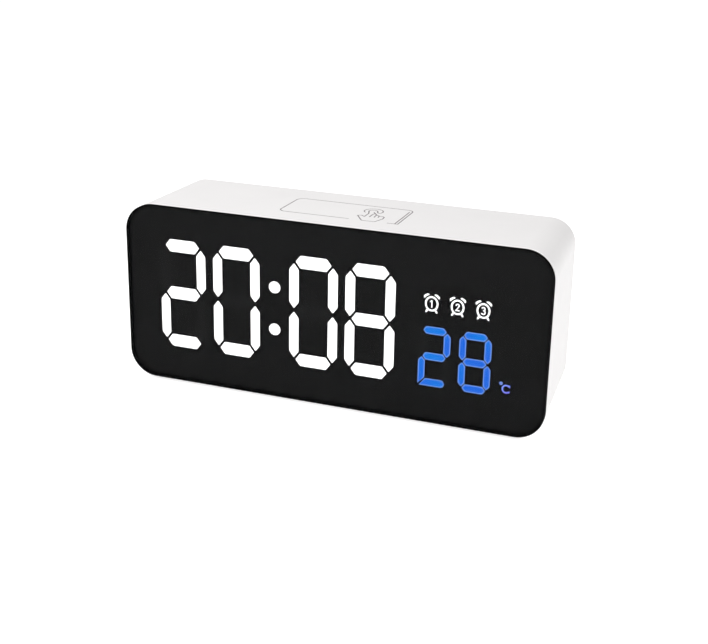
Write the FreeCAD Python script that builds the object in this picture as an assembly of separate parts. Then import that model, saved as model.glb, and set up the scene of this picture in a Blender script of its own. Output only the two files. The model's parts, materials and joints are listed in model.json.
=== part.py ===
import FreeCAD
import Part
import math
import os

# Desk alarm clock with a mirror front, a segment display behind it, buttons and a battery bay at the rear.
# Millimetres. +Z is up, the face looks along -Y and +X is to the right of someone who reads the time.
# The origin is on the surface that the clock stands on, under the middle of its width and depth.

Vector = FreeCAD.Vector

# ---- driving dimensions ----
face_width = 165.0
face_height = 70.0
overall_depth = 50.0
foot_height = 1.0
corner_radius = 10.7
front_edge_round = 0.7      # of the shell's edge behind the mirror
rear_edge_round = 1.0
draft = 1.0                 # how far every side leans in towards the rear
wall = 2.0
button_proud = 0.8          # buttons stand this far out of the rear rim
cover_recess = 0.6          # the rear cover lies this far inside the rear rim
cover_thickness = 2.4
panel_thickness = 2.0
film_thickness = 0.15
tape_thickness = 0.25
flange_thickness = 2.0
board_thickness = 1.6
reflector_depth = 7.1
diffuser_thickness = 1.25
running_gap = 0.15          # around everything that slides in a hole
switch_travel = 3.0

# ---- levels along Y, from the mirror's face to the button tops ----
front = -overall_depth / 2
rear = overall_depth / 2
panel_back = front + panel_thickness
film_back = panel_back + film_thickness
shell_front = film_back + tape_thickness
flange_back = shell_front + flange_thickness
board_front = film_back + reflector_depth
board_back = board_front + board_thickness
rim = rear - button_proud
cover_out = rim - cover_recess
cover_in = cover_out - cover_thickness
mid_z = foot_height + face_height / 2

# ---- display layout, from the middle of the face ----
window_half_width = 72.5
window_half_height = 24.5
lit_segments = {"0": "abcdef", "2": "abged", "8": "abcdefg"}
time_shown = "2008"
time_centres = (-59.5, -37.1, -5.9, 16.2)
time_glyph = {"width": 19.45, "top": 22.2, "middle": 0.6, "bottom": -21.75,
              "bar": 5.25, "stem": 4.05, "gap": 0.52, "round": 1.4}
heat_shown = "28"
heat_centres = (40.95, 55.95)
heat_glyph = {"width": 11.75, "top": 1.8, "middle": -9.7, "bottom": -21.3,
              "bar": 2.9, "stem": 2.5, "gap": 0.32, "round": 0.9}
colon_x = -21.4
colon_heights = (8.4, -8.35)
colon_radius = 2.3
icon_centres = (39.3, 48.8, 58.15)
icon_height = 10.45
icon_dial = (2.48, 2.85)    # half width and half height of an alarm icon's dial
icon_line = 0.62
numeral_line = 0.36
bell_tilt = 34.0            # degrees from upright, seen from the middle of the dial
bell_reach, bell_half, bell_width, bell_gap = 3.38, 0.48, 1.3, 0.62
celsius_centre = (67.9, -17.75)
sharp = 0.3                 # radius left on the segments' points
mitre_tip = 0.1             # radius left on the slanted corner of the smaller 2

# ---- touch zone printed on top: x across, depth measured from the mirror's face ----
ink_depth = 0.12
ink_line = 0.45
zone_left, zone_right = -24.9, 22.1
zone_near, zone_far = 13.6, 34.9
zone_corner = 2.8
zone_gap = (3.1, 18.1)      # the near line stops here for the hand

# ---- rear controls ----
control_z = 55.0
button_centres = {"set": 22.0, "up": 8.0, "down": -6.0, "alarm": -20.0, "light": -34.0}
button_length, button_width = 9.0, 5.2
button_flange = 0.9
flange_lap = 0.8
tact_size, tact_height, tact_reach = 6.0, 3.5, 5.0
plunger_radius = 1.75
button_board_out = cover_in - 0.1 - button_flange - tact_reach
button_board_in = button_board_out - board_thickness
button_board_ends = (-45.0, 65.5)
button_board_half = 7.0
slider_x = 38.0
inlet_x = 54.0
post_places = (-41.5, 30.0, 62.0)

# ---- battery bay ----
bay_x, bay_z = -42.0, 25.2
bay_half_length, bay_half_height = 26.0, 17.0
tray_wall = 1.2
cell_radius, cell_length, cell_pitch = 5.25, 44.5, 10.7
nub_radius, nub_length = 1.9, 1.0
contact_thickness = 0.4
tab_tail = 1.2              # the solder tabs stand this far out of the tray's floor
cell_y = cover_in - 0.4 - cell_radius
tray_floor = cell_y - cell_radius - 0.1
door_half_length, door_half_height = 24.7, 16.1
door_gap = 0.3
hinge_radius = cover_thickness / 2
pin_radius, pin_length = 0.7, 1.3
hinge_y = cover_in + hinge_radius
hinge_z = bay_z + door_half_height - hinge_radius

# ---- speaker ----
speaker_x, speaker_z, speaker_radius = 45.0, 26.0, 14.0
gasket_thickness = 0.6
basket_depth = 4.6
magnet_depth = 3.6
speaker_back = cover_in - gasket_thickness - basket_depth - magnet_depth
lead_radius = 0.45

# ---- screws ----
cover_screw = {"shank": 1.1, "length": 8.0, "head": 2.4, "head_height": 1.3}
board_screw = {"shank": 0.9, "length": 4.0, "head": 1.9, "head_height": 1.3}
corner_post = (75.2, 27.4)  # half spacing of the four cover screws
board_post = (66.0, 28.6)   # half spacing of the display board's screws


# ---- outlines and simple solids ----

def on_front(y):
    """Puts a drawing of the face, x and z, at depth y."""
    return lambda u, v: Vector(u, y, v)


def on_top(z):
    """Puts a plan drawing, x and y, at height z."""
    return lambda u, v: Vector(u, v, z)


def on_side(x):
    """Puts a side drawing, y and z, at x."""
    return lambda u, v: Vector(x, u, v)


def corner_arc(before, at, after, radius):
    """Start, middle and end of the arc that rounds one corner of an outline."""
    back = (before - at).normalize()
    onward = (after - at).normalize()
    half = back.getAngle(onward) / 2
    reach = radius / math.tan(half)
    inward = (back + onward).normalize()
    middle = at + inward * (radius / math.sin(half) - radius)
    return at + back * reach, middle, at + onward * reach


def outline(points, radii, place):
    """Closed wire through points, each corner rounded by its radius, 0 for a sharp one."""
    if not isinstance(radii, (list, tuple)):
        radii = [radii] * len(points)
    corners = [place(*p) for p in points]
    spans = []
    for i, at in enumerate(corners):
        if radii[i] > 0:
            spans.append(corner_arc(corners[i - 1], at, corners[(i + 1) % len(corners)], radii[i]))
        else:
            spans.append((at, at, at))
    edges = []
    for i, (start, middle, end) in enumerate(spans):
        if radii[i] > 0:
            edges.append(Part.Arc(start, middle, end).toShape())
        following = spans[(i + 1) % len(spans)][0]
        if end.distanceToPoint(following) > 1e-6:
            edges.append(Part.LineSegment(end, following).toShape())
    return Part.Wire(edges)


def rectangle(half_u, half_v, centre=(0.0, 0.0)):
    """Corner points of an upright rectangle."""
    u, v = centre
    return [(u - half_u, v - half_v), (u + half_u, v - half_v),
            (u + half_u, v + half_v), (u - half_u, v + half_v)]


def extrude(wire, along):
    """Solid swept by a flat outline."""
    return Part.Face(wire).extrude(along)


def slab(points, radii, y0, y1):
    """Solid with an outline drawn on the face plane, from depth y0 to y1."""
    return extrude(outline(points, radii, on_front(y0)), Vector(0, y1 - y0, 0))


def box(x0, x1, y0, y1, z0, z1):
    """Upright block between two corners."""
    return Part.makeBox(x1 - x0, y1 - y0, z1 - z0, Vector(x0, y0, z0))


def rod(x, z, radius, y0, y1):
    """Cylinder along Y."""
    return Part.makeCylinder(radius, y1 - y0, Vector(x, y0, z), Vector(0, 1, 0))


def oval_rod(x, z, half_width, half_height, y0, y1):
    """Rod of upright oval section along Y."""
    middle = Vector(x, y0, z)
    ring = Part.Ellipse(middle + Vector(0, 0, half_height), middle + Vector(half_width, 0, 0), middle)
    return extrude(Part.Wire([ring.toShape()]), Vector(0, y1 - y0, 0))


def cross_rod(x0, x1, y, z, radius):
    """Cylinder along X."""
    return Part.makeCylinder(radius, x1 - x0, Vector(x0, y, z), Vector(1, 0, 0))


def tube_ring(x, z, outer, inner, y0, y1):
    """Round ring along Y."""
    return rod(x, z, outer, y0, y1).cut(rod(x, z, inner, y0, y1))


def joined(solids):
    """One solid from several that overlap or share faces."""
    first = solids[0]
    return first.fuse(solids[1:]).removeSplitter() if len(solids) > 1 else first


def group(solids):
    """Separate solids kept in one node."""
    return Part.makeCompound(solids)


def bar(start, end, thickness, place, along):
    """Straight stroke with round ends."""
    (u0, v0), (u1, v1) = start, end
    length = math.hypot(u1 - u0, v1 - v0)
    du, dv = (u1 - u0) / length * thickness / 2, (v1 - v0) / length * thickness / 2
    left0, right0 = place(u0 - dv, v0 + du), place(u0 + dv, v0 - du)
    left1, right1 = place(u1 - dv, v1 + du), place(u1 + dv, v1 - du)
    edges = [Part.LineSegment(left0, left1).toShape(),
             Part.Arc(left1, place(u1 + du, v1 + dv), right1).toShape(),
             Part.LineSegment(right1, right0).toShape(),
             Part.Arc(right0, place(u0 - du, v0 - dv), left0).toShape()]
    return extrude(Part.Wire(edges), along)


def bow(centre, radius, start, end, thickness, place, along):
    """Curved stroke with round ends, from one angle to another in degrees."""
    def at(reach, degrees):
        a = math.radians(degrees)
        return place(centre[0] + reach * math.cos(a), centre[1] + reach * math.sin(a))

    outer, inner = radius + thickness / 2, radius - thickness / 2
    cap = math.degrees(thickness / 2 / radius)
    middle = (start + end) / 2
    edges = [Part.Arc(at(outer, start), at(outer, middle), at(outer, end)).toShape(),
             Part.Arc(at(outer, end), at(radius, end + cap), at(inner, end)).toShape(),
             Part.Arc(at(inner, end), at(inner, middle), at(inner, start)).toShape(),
             Part.Arc(at(inner, start), at(radius, start - cap), at(outer, start)).toShape()]
    return extrude(Part.Wire(edges), along)


def polyline(points, thickness, place, along):
    """Strokes through a run of points."""
    return [bar(a, b, thickness, place, along) for a, b in zip(points, points[1:])]


def bent_run(points):
    """Wire of straight runs joined by tangent arcs, as wide as the runs allow."""
    points = [Vector(*p) for p in points]
    edges = []
    here = points[0]
    for before, at, after in zip(points, points[1:], points[2:]):
        shorter = min(at.distanceToPoint(before), at.distanceToPoint(after))
        half_turn = (at - before).getAngle(after - at) / 2
        start, middle, end = corner_arc(before, at, after, 0.45 * shorter / math.tan(half_turn))
        edges.append(Part.LineSegment(here, start).toShape())
        edges.append(Part.Arc(start, middle, end).toShape())
        here = end
    edges.append(Part.LineSegment(here, points[-1]).toShape())
    return Part.Wire(edges)


def lead(points, radius):
    """Round wire along a route."""
    path = bent_run(points)
    start = Vector(*points[0])
    heading = Vector(*points[1]) - start
    ring = Part.Wire(Part.makeCircle(radius, start, heading))
    return path.makePipeShell([ring], True, False)


# ---- the tapered body ----

def body_section(y, inset):
    """Rounded rectangle of the body at depth y, inset from its outer surface."""
    lean = draft * (y - shell_front) / (rim - shell_front) + inset
    corners = rectangle(face_width / 2 - lean, face_height / 2 - lean, (0.0, mid_z))
    return outline(corners, corner_radius - lean, on_front(y))


def body_solid(y0, y1, inset):
    """The body's tapered block between two depths."""
    return Part.makeLoft([body_section(y0, inset), body_section(y1, inset)], True, True)


def edges_at(solid, y):
    """Edges that lie in the plane of one depth."""
    return [e for e in solid.Edges if abs(e.BoundBox.YMin - y) < 1e-4 and abs(e.BoundBox.YMax - y) < 1e-4]


def outer_body():
    """Outside of the housing, with softened front and rear edges."""
    solid = body_solid(shell_front, rim, 0.0)
    solid = solid.makeFillet(rear_edge_round, edges_at(solid, rim))
    return solid.makeFillet(front_edge_round, edges_at(solid, shell_front))


# ---- display artwork ----

def horizontal_segment(glyph, centre, level, rounded):
    """Outline of one lying segment: points and corner radii."""
    node = glyph["width"] / 2 - glyph["stem"] / 2
    tip = node - glyph["gap"]
    shoulder = tip - 0.36 * glyph["bar"]
    half = glyph["bar"] / 2
    points = [(centre - tip, level), (centre - shoulder, level - half), (centre + shoulder, level - half),
              (centre + tip, level), (centre + shoulder, level + half), (centre - shoulder, level + half)]
    return points, [rounded.get(i, sharp) for i in range(6)]


def upright_segment(glyph, centre, side, low, high, rounded):
    """Outline of one standing segment between two node heights."""
    x = centre + side * (glyph["width"] / 2 - glyph["stem"] / 2)
    half = glyph["stem"] / 2
    gap = glyph["gap"]
    shoulder = gap + 0.61 * glyph["stem"]
    points = [(x, low + gap), (x + half, low + shoulder), (x + half, high - shoulder),
              (x, high - gap), (x - half, high - shoulder), (x - half, low + shoulder)]
    return points, [rounded.get(i, sharp) for i in range(6)]


def glyph_segments(glyph, centre):
    """The seven segments of one digit, by letter."""
    top = glyph["top"] - glyph["bar"] / 2
    middle = glyph["middle"]
    bottom = glyph["bottom"] + glyph["bar"] / 2
    soft = glyph["round"]
    return {"a": horizontal_segment(glyph, centre, top, {4: soft, 5: sharp}),
            "b": upright_segment(glyph, centre, 1, middle, top, {2: soft}),
            "c": upright_segment(glyph, centre, 1, bottom, middle, {}),
            "d": horizontal_segment(glyph, centre, bottom, {1: soft}),
            "e": upright_segment(glyph, centre, -1, bottom, middle, {5: soft}),
            "f": upright_segment(glyph, centre, -1, middle, top, {}),
            "g": horizontal_segment(glyph, centre, middle, {})}


def mitred_segments(glyph, centre):
    """Segments d and e of a digit whose lower left corner is one slanting cut."""
    segments = glyph_segments(glyph, centre)
    outer = centre - glyph["width"] / 2
    inner = outer + glyph["stem"]
    low = glyph["bottom"]
    high = low + glyph["bar"]
    gap = glyph["gap"]
    radii = [mitre_tip, sharp, sharp, sharp, sharp]
    lying = [(outer + 1.6 * gap, low), *segments["d"][0][2:5], (inner + gap, high)]
    standing = [(outer, low + 1.6 * gap), (inner, high + gap), *segments["e"][0][2:5]]
    return {"d": (lying, radii), "e": (standing, radii)}


def segment_outlines(glyph, digits, centres, mitred=""):
    """Every segment of a row of digits as (outline, radii, lit), heights from the ground."""
    found = []
    for digit, centre in zip(digits, centres):
        segments = glyph_segments(glyph, centre)
        if digit in mitred:
            segments.update(mitred_segments(glyph, centre))
        for letter, (points, radii) in segments.items():
            raised = [(u, v + mid_z) for u, v in points]
            found.append((raised, radii, letter in lit_segments[digit]))
    return found


time_outlines = segment_outlines(time_glyph, time_shown, time_centres)
heat_outlines = segment_outlines(heat_glyph, heat_shown, heat_centres, mitred="2")


def segment_bars(outlines, lit, y0, y1):
    """Prisms of the lit or the dark segments."""
    return [slab(points, radii, y0, y1) for points, radii, on in outlines if on is lit]


def all_segment_bars(y0, y1):
    """Prisms of every segment of both rows of digits."""
    return [slab(points, radii, y0, y1) for points, radii, _ in time_outlines + heat_outlines]


def colon_rods(y0, y1):
    """The two round dots between hours and minutes."""
    return [rod(colon_x, mid_z + v, colon_radius, y0, y1) for v in colon_heights]


def numeral_strokes(digit, centre, place, along):
    """Numeral 1, 2 or 3 for the middle of an alarm icon."""
    u, v = centre
    pen = numeral_line
    if digit == 1:
        return polyline([(u - 0.55, v + 0.75), (u + 0.08, v + 1.2), (u + 0.08, v - 1.3)], pen, place, along)
    if digit == 2:
        foot = [(u + 0.42, v + 0.22), (u - 0.6, v - 1.22), (u + 0.68, v - 1.22)]
        return [bow((u, v + 0.6), 0.57, -35, 170, pen, place, along), *polyline(foot, pen, place, along)]
    return [bow((u - 0.05, v + 0.66), 0.6, -90, 150, pen, place, along),
            bow((u - 0.05, v - 0.62), 0.68, -150, 90, pen, place, along)]


def alarm_icon(digit, x, y0, y1):
    """Oval dial with a numeral, two bells and two legs."""
    centre = (x, mid_z + icon_height)
    place, along = on_front(y0), Vector(0, y1 - y0, 0)

    def dial(grow):
        return oval_rod(*centre, icon_dial[0] + grow, icon_dial[1] + grow, y0, y1)

    inside = dial(-icon_line)
    pieces = [dial(0.0).cut(inside), *numeral_strokes(digit, centre, place, along)]
    for side in (-1, 1):
        tilt = math.radians(90 - side * bell_tilt)
        heading = (math.cos(tilt), math.sin(tilt))
        middle = (x + bell_reach * heading[0], centre[1] + bell_reach * heading[1])
        ends = [(middle[0] + end * bell_half * heading[1], middle[1] - end * bell_half * heading[0])
                for end in (-1, 1)]
        pieces.append(bar(*ends, bell_width, place, along).cut(dial(bell_gap)))
        hip = (x + side * 1.3, centre[1] - 2.1)
        foot = (x + side * 1.95, centre[1] - 3.1)
        pieces.append(bar(hip, foot, icon_line, place, along).cut(inside))
    return pieces


def celsius_strokes(y0, y1):
    """Degree mark and letter C."""
    u, v = celsius_centre[0], mid_z + celsius_centre[1]
    place, along = on_front(y0), Vector(0, y1 - y0, 0)
    return [tube_ring(u - 2.0, v + 1.95, 0.6, 0.24, y0, y1),
            bow((u, v), 1.42, 44, 316, 0.55, place, along),
            bar((u + 1.15, v + 0.75), (u + 1.15, v + 1.4), 0.36, place, along)]


def icon_cavities(y0, y1):
    """Round light wells behind the alarm icons."""
    return [rod(x, mid_z + icon_height + 0.1, 4.25, y0, y1) for x in icon_centres]


def celsius_cavity(y0, y1):
    """Light well behind the degree sign."""
    centre = (celsius_centre[0] - 0.2, mid_z + celsius_centre[1] + 0.1)
    return slab(rectangle(2.6, 2.7, centre), 0.5, y0, y1)


# ---- mirror front and display ----

def mirror_panel():
    """Smoked mirror acrylic plate with a polished edge break."""
    corners = rectangle(face_width / 2, face_height / 2, (0.0, mid_z))
    plate = slab(corners, corner_radius, front, panel_back)
    return plate.makeChamfer(0.25, edges_at(plate, front))


def display_film():
    """Black film behind the mirror, open only where light passes."""
    corners = rectangle(face_width / 2 - 0.4, face_height / 2 - 0.4, (0.0, mid_z))
    film = slab(corners, corner_radius - 0.4, panel_back, film_back)
    windows = all_segment_bars(panel_back, film_back) + colon_rods(panel_back, film_back)
    for digit, x in enumerate(icon_centres, 1):
        windows += alarm_icon(digit, x, panel_back, film_back)
    windows += celsius_strokes(panel_back, film_back)
    return film.cut(group(windows))


def panel_adhesive():
    """Double-sided tape frame between the mirror's film and the housing."""
    outer = slab(rectangle(face_width / 2 - 0.4, face_height / 2 - 0.4, (0.0, mid_z)), corner_radius - 0.4,
                 film_back, shell_front)
    inner = slab(rectangle(window_half_width + 0.7, window_half_height + 0.7, (0.0, mid_z)), 1.0,
                 film_back, shell_front)
    return outer.cut(inner)


def segment_reflector():
    """White block with a light well behind every segment, dot and icon."""
    block = slab(rectangle(window_half_width - 0.2, window_half_height - 0.2, (0.0, mid_z)), 1.0,
                 film_back, board_front)
    wells = all_segment_bars(film_back, board_front) + colon_rods(film_back, board_front)
    wells += icon_cavities(film_back, board_front)
    wells.append(celsius_cavity(film_back, board_front))
    return block.cut(group(wells))


def diffusers(outlines, lit):
    """Milky bars that fill the light wells up to the mirror."""
    return group(segment_bars(outlines, lit, panel_back, film_back + diffuser_thickness))


def colon_dots():
    """Milky plugs of the two dots."""
    return group(colon_rods(panel_back, film_back + diffuser_thickness))


def alarm_icons():
    """One milky plug per alarm icon, its raised front shaped as the icon."""
    plugs = []
    wells = icon_cavities(film_back, film_back + diffuser_thickness)
    for digit, (x, well) in enumerate(zip(icon_centres, wells), 1):
        plugs.append(joined([well, *alarm_icon(digit, x, panel_back, film_back)]))
    return group(plugs)


def celsius_mark():
    """Milky plug of the degree sign."""
    well = celsius_cavity(film_back, film_back + diffuser_thickness)
    return joined([well, *celsius_strokes(panel_back, film_back)])


def display_board():
    """Circuit board that carries the lamps, with a screw hole at each post."""
    corners = rectangle(window_half_width - 0.6, face_height / 2 - wall - 2.0, (0.0, mid_z))
    board = slab(corners, 1.5, board_front, board_back)
    holes = [rod(x, z, board_screw["shank"], board_front, board_back) for x, z in board_post_places()]
    return board.cut(group(holes))


def chip_lamp(x, z, upright):
    """One surface-mounted lamp on the front of the display board."""
    half_long, half_short, height = 0.8, 0.4, 0.6
    half_x, half_z = (half_short, half_long) if upright else (half_long, half_short)
    return box(x - half_x, x + half_x, board_front - height, board_front, z - half_z, z + half_z)


def lamps_behind(outlines):
    """One lamp at the middle of every segment."""
    lamps = []
    for points, _, _ in outlines:
        xs = [p[0] for p in points]
        zs = [p[1] for p in points]
        upright = max(zs) - min(zs) > max(xs) - min(xs)
        lamps.append(chip_lamp((max(xs) + min(xs)) / 2, (max(zs) + min(zs)) / 2, upright))
    return lamps


def white_lamps():
    """Lamps of the time, the colon and the alarm icons."""
    lamps = lamps_behind(time_outlines)
    lamps += [chip_lamp(colon_x, mid_z + v, False) for v in colon_heights]
    lamps += [chip_lamp(x, mid_z + icon_height, False) for x in icon_centres]
    return group(lamps)


def blue_lamps():
    """Lamps of the temperature and its degree sign."""
    lamps = lamps_behind(heat_outlines)
    lamps.append(chip_lamp(celsius_centre[0], mid_z + celsius_centre[1], False))
    return group(lamps)


# ---- electronics behind the display ----

chip_x, chip_z = 18.0, 44.0
chip_half_length, chip_half_width, chip_lift = 9.0, 3.75, 0.3


def controller_chip():
    """Moulded body of the clock's controller."""
    body = box(chip_x - chip_half_length, chip_x + chip_half_length, board_back + chip_lift,
               board_back + chip_lift + 2.3, chip_z - chip_half_width, chip_z + chip_half_width)
    long_edges = [e for e in body.Edges if e.BoundBox.XLength > chip_half_length]
    return body.makeChamfer(0.3, long_edges)


def chip_pins():
    """Gull-wing pins along both long sides of the controller."""
    pin_half = 0.2
    level = board_back + chip_lift + 1.0
    drawing = [(level, 0.0), (level + 0.25, 0.0), (level + 0.25, 0.75), (board_back + 0.25, 0.95),
               (board_back + 0.25, 1.6), (board_back, 1.6), (board_back, 0.7), (level, 0.5)]
    pins = []
    for side in (-1, 1):
        edge = chip_z + side * chip_half_width
        profile = [(y, edge + side * out) for y, out in drawing]
        for i in range(14):
            x = chip_x + (i - 6.5) * 1.27
            wire = outline(profile, 0, on_side(x - pin_half))
            pins.append(extrude(wire, Vector(2 * pin_half, 0, 0)))
    return group(pins)


def clock_crystal():
    """Timing crystal can lying on the board, with its two legs."""
    radius, y = 1.0, board_back + 1.0
    can = cross_rod(-6.0, 0.0, y, 46.0, radius)
    legs = [cross_rod(0.0, 1.6, y, 46.0 + side * 0.4, 0.15) for side in (-1, 1)]
    return joined([can, *legs])


def smoothing_capacitor():
    """Small electrolytic capacitor standing on the board."""
    can = rod(-14.0, 30.0, 2.5, board_back, board_back + 7.0)
    return can.makeFillet(0.4, edges_at(can, board_back + 7.0))


ribbon_x, ribbon_half = -13.0, 5.0
connector_depth, connector_half = 3.6, 2.0
ribbon_low, ribbon_high = 48.0, 55.0


def ribbon_connectors():
    """Sockets of the flat cable, one on each board."""
    near = box(ribbon_x - 6.5, ribbon_x + 6.5, board_back, board_back + connector_depth,
               ribbon_low - connector_half, ribbon_low + connector_half)
    far = box(ribbon_x - 6.5, ribbon_x + 6.5, button_board_in - connector_depth, button_board_in,
              ribbon_high - connector_half, ribbon_high + connector_half)
    return group([near, far])


def ribbon_cable():
    """Flat cable between the display board and the button board."""
    y0 = board_back + connector_depth
    y1 = button_board_in - connector_depth
    spine = bent_run([(ribbon_x, y0, ribbon_low), (ribbon_x, y0 + 6.0, ribbon_low),
                      (ribbon_x, y1 - 6.0, ribbon_high), (ribbon_x, y1, ribbon_high)])
    profile = Part.makePolygon([Vector(u, y0, v) for u, v in
                                [*rectangle(ribbon_half, 0.5, (ribbon_x, ribbon_low)),
                                 (ribbon_x - ribbon_half, ribbon_low - 0.5)]])
    return spine.makePipeShell([profile], True, False)


# ---- housing ----

def board_post_places():
    """Centres of the four posts behind the front flange."""
    return [(sx * board_post[0], mid_z + sz * board_post[1]) for sx in (-1, 1) for sz in (-1, 1)]


def cover_post_places():
    """Centres of the four corner columns."""
    return [(sx * corner_post[0], mid_z + sz * corner_post[1]) for sx in (-1, 1) for sz in (-1, 1)]


foot_places = [(sx * 66.0, y) for sx in (-1, 1) for y in (-14.0, 15.0)]
foot_radius, foot_bed = 4.5, 0.6


def foot_top(y):
    """Height of a foot's bed inside the sloping underside."""
    return foot_height + draft * (y - shell_front) / (rim - shell_front) + foot_bed


def corner_rib(x, z):
    """Diagonal rib that ties a corner column to the housing's corner."""
    reach = 2.8
    end = (x + math.copysign(reach, x), z + math.copysign(reach, z - mid_z))
    return bar((x, z), end, 1.6, on_front(flange_back - 0.5), Vector(0, cover_in - flange_back + 0.5, 0))


def housing_shell():
    """White sleeve with a front flange, board posts, corner columns, foot beds and the print's groove."""
    shell = outer_body().cut(body_solid(flange_back, rim + 1.0, wall))
    window = slab(rectangle(window_half_width, window_half_height, (0.0, mid_z)), 1.2,
                  shell_front, flange_back)
    shell = shell.cut(window)
    columns = [rod(x, z, 3.0, flange_back - 0.5, cover_in) for x, z in cover_post_places()]
    ribs = [corner_rib(x, z) for x, z in cover_post_places()]
    posts = [rod(x, z, 2.4, flange_back - 0.5, board_front) for x, z in board_post_places()]
    shell = shell.fuse(columns + ribs + posts)
    bores = [rod(x, z, cover_screw["shank"], cover_in - cover_screw["length"], cover_in)
             for x, z in cover_post_places()]
    bores += [rod(x, z, board_screw["shank"], board_front - board_screw["length"], board_front)
              for x, z in board_post_places()]
    beds = [Part.makeCylinder(foot_radius, foot_top(y), Vector(x, y, 0.0)) for x, y in foot_places]
    return shell.cut(group(bores + beds + touch_zone_print().Solids))


def foot(x, y):
    """Round rubber foot let into the underside."""
    pad = Part.makeCylinder(foot_radius, foot_top(y), Vector(x, y, 0.0))
    lower = [e for e in pad.Edges if e.BoundBox.ZMax < 1e-4]
    return pad.makeChamfer(0.3, lower)


# ---- touch zone on top ----

def zone_strokes(place, along):
    """Printed frame of the touch zone: double at its right end, open at the near side for the hand."""
    left, right, far = zone_left, zone_right, front + zone_far
    near = front + zone_near
    r = zone_corner
    second = right - 1.1
    strokes = [bar((zone_gap[0], near), (left + r, near), ink_line, place, along),
               bow((left + r, near + r), r, 180, 270, ink_line, place, along),
               bar((left, near + r), (left, far - r), ink_line, place, along),
               bow((left + r, far - r), r, 90, 180, ink_line, place, along),
               bar((left + r, far), (right - r, far), ink_line, place, along),
               bow((right - r, far - r), r, 0, 90, ink_line, place, along),
               bar((right, far - r), (right, near), ink_line, place, along),
               bar((second, far - r), (second, near), ink_line, place, along),
               bar((right, near), (zone_gap[1], near), ink_line, place, along)]
    return strokes


def hand_strokes(place, along):
    """Printed hand: one finger out, inside the ring that it presses."""
    def from_face(points):
        return [(x, front + depth) for x, depth in points]

    ring_centre = (8.25, front + 27.65)
    tip_centre = (8.1, front + 27.5)
    thumb = from_face([(6.4, 27.5), (7.5, 24.0), (7.5, 18.9), (6.0, 20.4), (4.6, 19.7), (7.7, 14.3),
                       (8.4, 13.4), (13.3, 13.4)])
    palm = from_face([(13.3, 13.4), (14.8, 18.1), (14.7, 20.6), (14.1, 21.5), (12.5, 21.8), (11.0, 22.9),
                      (8.9, 26.1)])
    ring_hook = from_face([(9.8, 27.5), (10.5, 25.9), (11.2, 25.6)])
    knuckles = [from_face([(9.8, 24.6), (9.35, 22.8), (9.4, 19.3)]),
                from_face([(10.9, 22.9), (11.2, 19.3)]),
                from_face([(12.4, 21.8), (12.6, 19.8)])]
    strokes = [bow(ring_centre, 3.6, -35, 226, ink_line, place, along),
               bow(tip_centre, 1.7, 0, 180, ink_line, place, along)]
    for points in (thumb, palm, ring_hook, *knuckles):
        strokes += polyline(points, ink_line, place, along)
    return strokes


def touch_zone_print():
    """Grey ink that fills a shallow groove, level with the sloping top."""
    low = mid_z + face_height / 2 - wall
    place, along = on_top(low), Vector(0, 0, 2 * wall)
    marks = joined(zone_strokes(place, along) + hand_strokes(place, along))
    outside = body_solid(shell_front, rim, 0.0)
    skin = outside.cut(outside.translated(Vector(0, 0, -ink_depth)))
    return group(marks.common(skin).Solids)


electrode_half = (20.0, 9.5)
electrode_y = front + (zone_near + zone_far) / 2


def touch_electrode():
    """Copper sensing plate glued under the top wall."""
    low = mid_z + face_height / 2 - 2 * wall
    plan = outline(rectangle(*electrode_half, (0.0, electrode_y)), 1.5, on_top(low))
    block = extrude(plan, Vector(0, 0, 2 * wall))
    inside = body_solid(flange_back, rim, wall)
    return block.common(inside.cut(inside.translated(Vector(0, 0, -0.3))))


def touch_lead():
    """Wire from the display board up to the sensing plate."""
    height = mid_z + face_height / 2 - wall - 1.6
    return lead([(4.0, board_back, 62.0), (4.0, -9.0, 62.0), (4.0, -7.0, height)], 0.4)


# ---- rear cover and its controls ----

def grille_places():
    """Centres of the speaker holes: rings of 6, 12 and 18 around one."""
    places = [(speaker_x, speaker_z)]
    for ring in (1, 2, 3):
        for i in range(6 * ring):
            a = 2 * math.pi * i / (6 * ring)
            places.append((speaker_x + 3.0 * ring * math.cos(a), speaker_z + 3.0 * ring * math.sin(a)))
    return places


def button_outline(x, grow):
    """Rounded outline of a button, larger by grow all round."""
    half_u, half_v = button_length / 2 + grow, button_width / 2 + grow
    return rectangle(half_u, half_v, (x, control_z)), min(half_u, half_v) - 0.6


def inlet_outline(grow):
    """Power socket's outline: a flat oblong with two cut lower corners."""
    x, z = inlet_x, control_z
    return [(x - 2.7 - 0.4 * grow, z - 1.35 - grow), (x + 2.7 + 0.4 * grow, z - 1.35 - grow),
            (x + 3.8 + grow, z - 0.35), (x + 3.8 + grow, z + 1.35 + grow),
            (x - 3.8 - grow, z + 1.35 + grow), (x - 3.8 - grow, z - 0.35)]


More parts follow.
